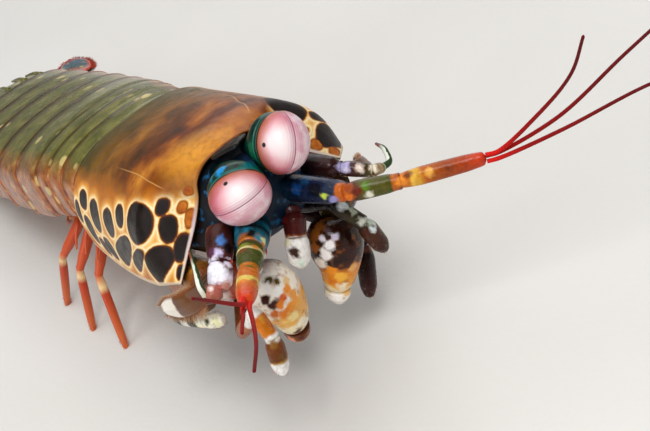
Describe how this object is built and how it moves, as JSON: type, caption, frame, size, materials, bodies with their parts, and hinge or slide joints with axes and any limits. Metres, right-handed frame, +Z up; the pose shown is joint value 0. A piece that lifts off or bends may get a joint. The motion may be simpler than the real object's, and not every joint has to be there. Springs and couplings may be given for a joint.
{
  "type": "mantis shrimp",
  "caption": "Life-size peacock mantis shrimp, standing with its front raised and its striking claws folded, as a still museum model.",
  "frame": {"origin": "centre of the footprint on the floor that the feet and tail fan rest on", "axes": "+Z up, the head looks along -Y, the tail lies towards +Y, +X is the animal's left"},
  "size_m": [0.0718, 0.1888, 0.0486],
  "materials": {
    "carapace_shell": "smooth horny shell, golden brown on the back, cream with near-black brown spots on the flanks, wet gloss",
    "body_shell": "smooth olive-green shell rings with darker rear edges and red-brown rims, wet gloss",
    "tail_fan": "olive and orange ridged shell with red bristle fringes",
    "cornea": "glossy pinkish-white cornea with a rose rim and thin dark middle lines",
    "eyestalk": "dark teal and blue-green smooth shell cup",
    "feeler": "olive and orange banded jointed feeler with pale yellow rings",
    "feeler_whip": "dark red fine-ringed whip",
    "antennal_scale": "brown-olive blade with a white patch and a red bristle fringe",
    "striking_claw": "brown, orange, cream and white blotched thick shell, high gloss",
    "mouth_limb": "white, cream, olive and dark red banded shell",
    "walking_leg": "orange-red slender shell legs with pale joints"
  },
  "bodies": {
    "root": {"carapace": "carapace_shell", "rostrum": "carapace_shell", "head": "body_shell", "thorax_segment_5": "body_shell", "thorax_segment_6": "body_shell", "thorax_segment_7": "body_shell", "thorax_segment_8": "body_shell", "abdomen_segment_1": "body_shell", "abdomen_segment_2": "body_shell", "abdomen_segment_3": "body_shell", "abdomen_segment_4": "body_shell", "abdomen_segment_5": "body_shell", "abdomen_segment_6": "body_shell", "telson": "tail_fan", "uropod_left_base": "tail_fan", "uropod_left_exopod": "tail_fan", "uropod_left_endopod": "tail_fan", "uropod_right_base": "tail_fan", "uropod_right_exopod": "tail_fan", "uropod_right_endopod": "tail_fan", "eye_left": "cornea", "eye_right": "cornea", "eyestalk_left": "eyestalk", "eyestalk_right": "eyestalk", "antennule_left": "feeler", "antennule_right": "feeler", "antennule_whip_1_left": "feeler_whip", "antennule_whip_2_left": "feeler_whip", "antennule_whip_3_left": "feeler_whip", "antennule_whip_1_right": "feeler_whip", "antennule_whip_2_right": "feeler_whip", "antennule_whip_3_right": "feeler_whip", "antenna_left": "feeler", "antenna_right": "feeler", "antennal_scale_left": "antennal_scale", "antennal_scale_right": "antennal_scale", "raptorial_merus_left": "striking_claw", "raptorial_merus_right": "striking_claw", "raptorial_carpus_left": "striking_claw", "raptorial_carpus_right": "striking_claw", "raptorial_propodus_left": "striking_claw", "raptorial_propodus_right": "striking_claw", "raptorial_dactyl_left": "striking_claw", "raptorial_dactyl_right": "striking_claw", "maxilliped_3_left": "mouth_limb", "maxilliped_3_right": "mouth_limb", "maxilliped_4_left": "mouth_limb", "maxilliped_4_right": "mouth_limb", "maxilliped_5_left": "mouth_limb", "maxilliped_5_right": "mouth_limb", "walking_leg_1_left": "walking_leg", "walking_leg_1_right": "walking_leg", "walking_leg_2_left": "walking_leg", "walking_leg_2_right": "walking_leg", "walking_leg_3_left": "walking_leg", "walking_leg_3_right": "walking_leg"}
  },
  "joints": []
}
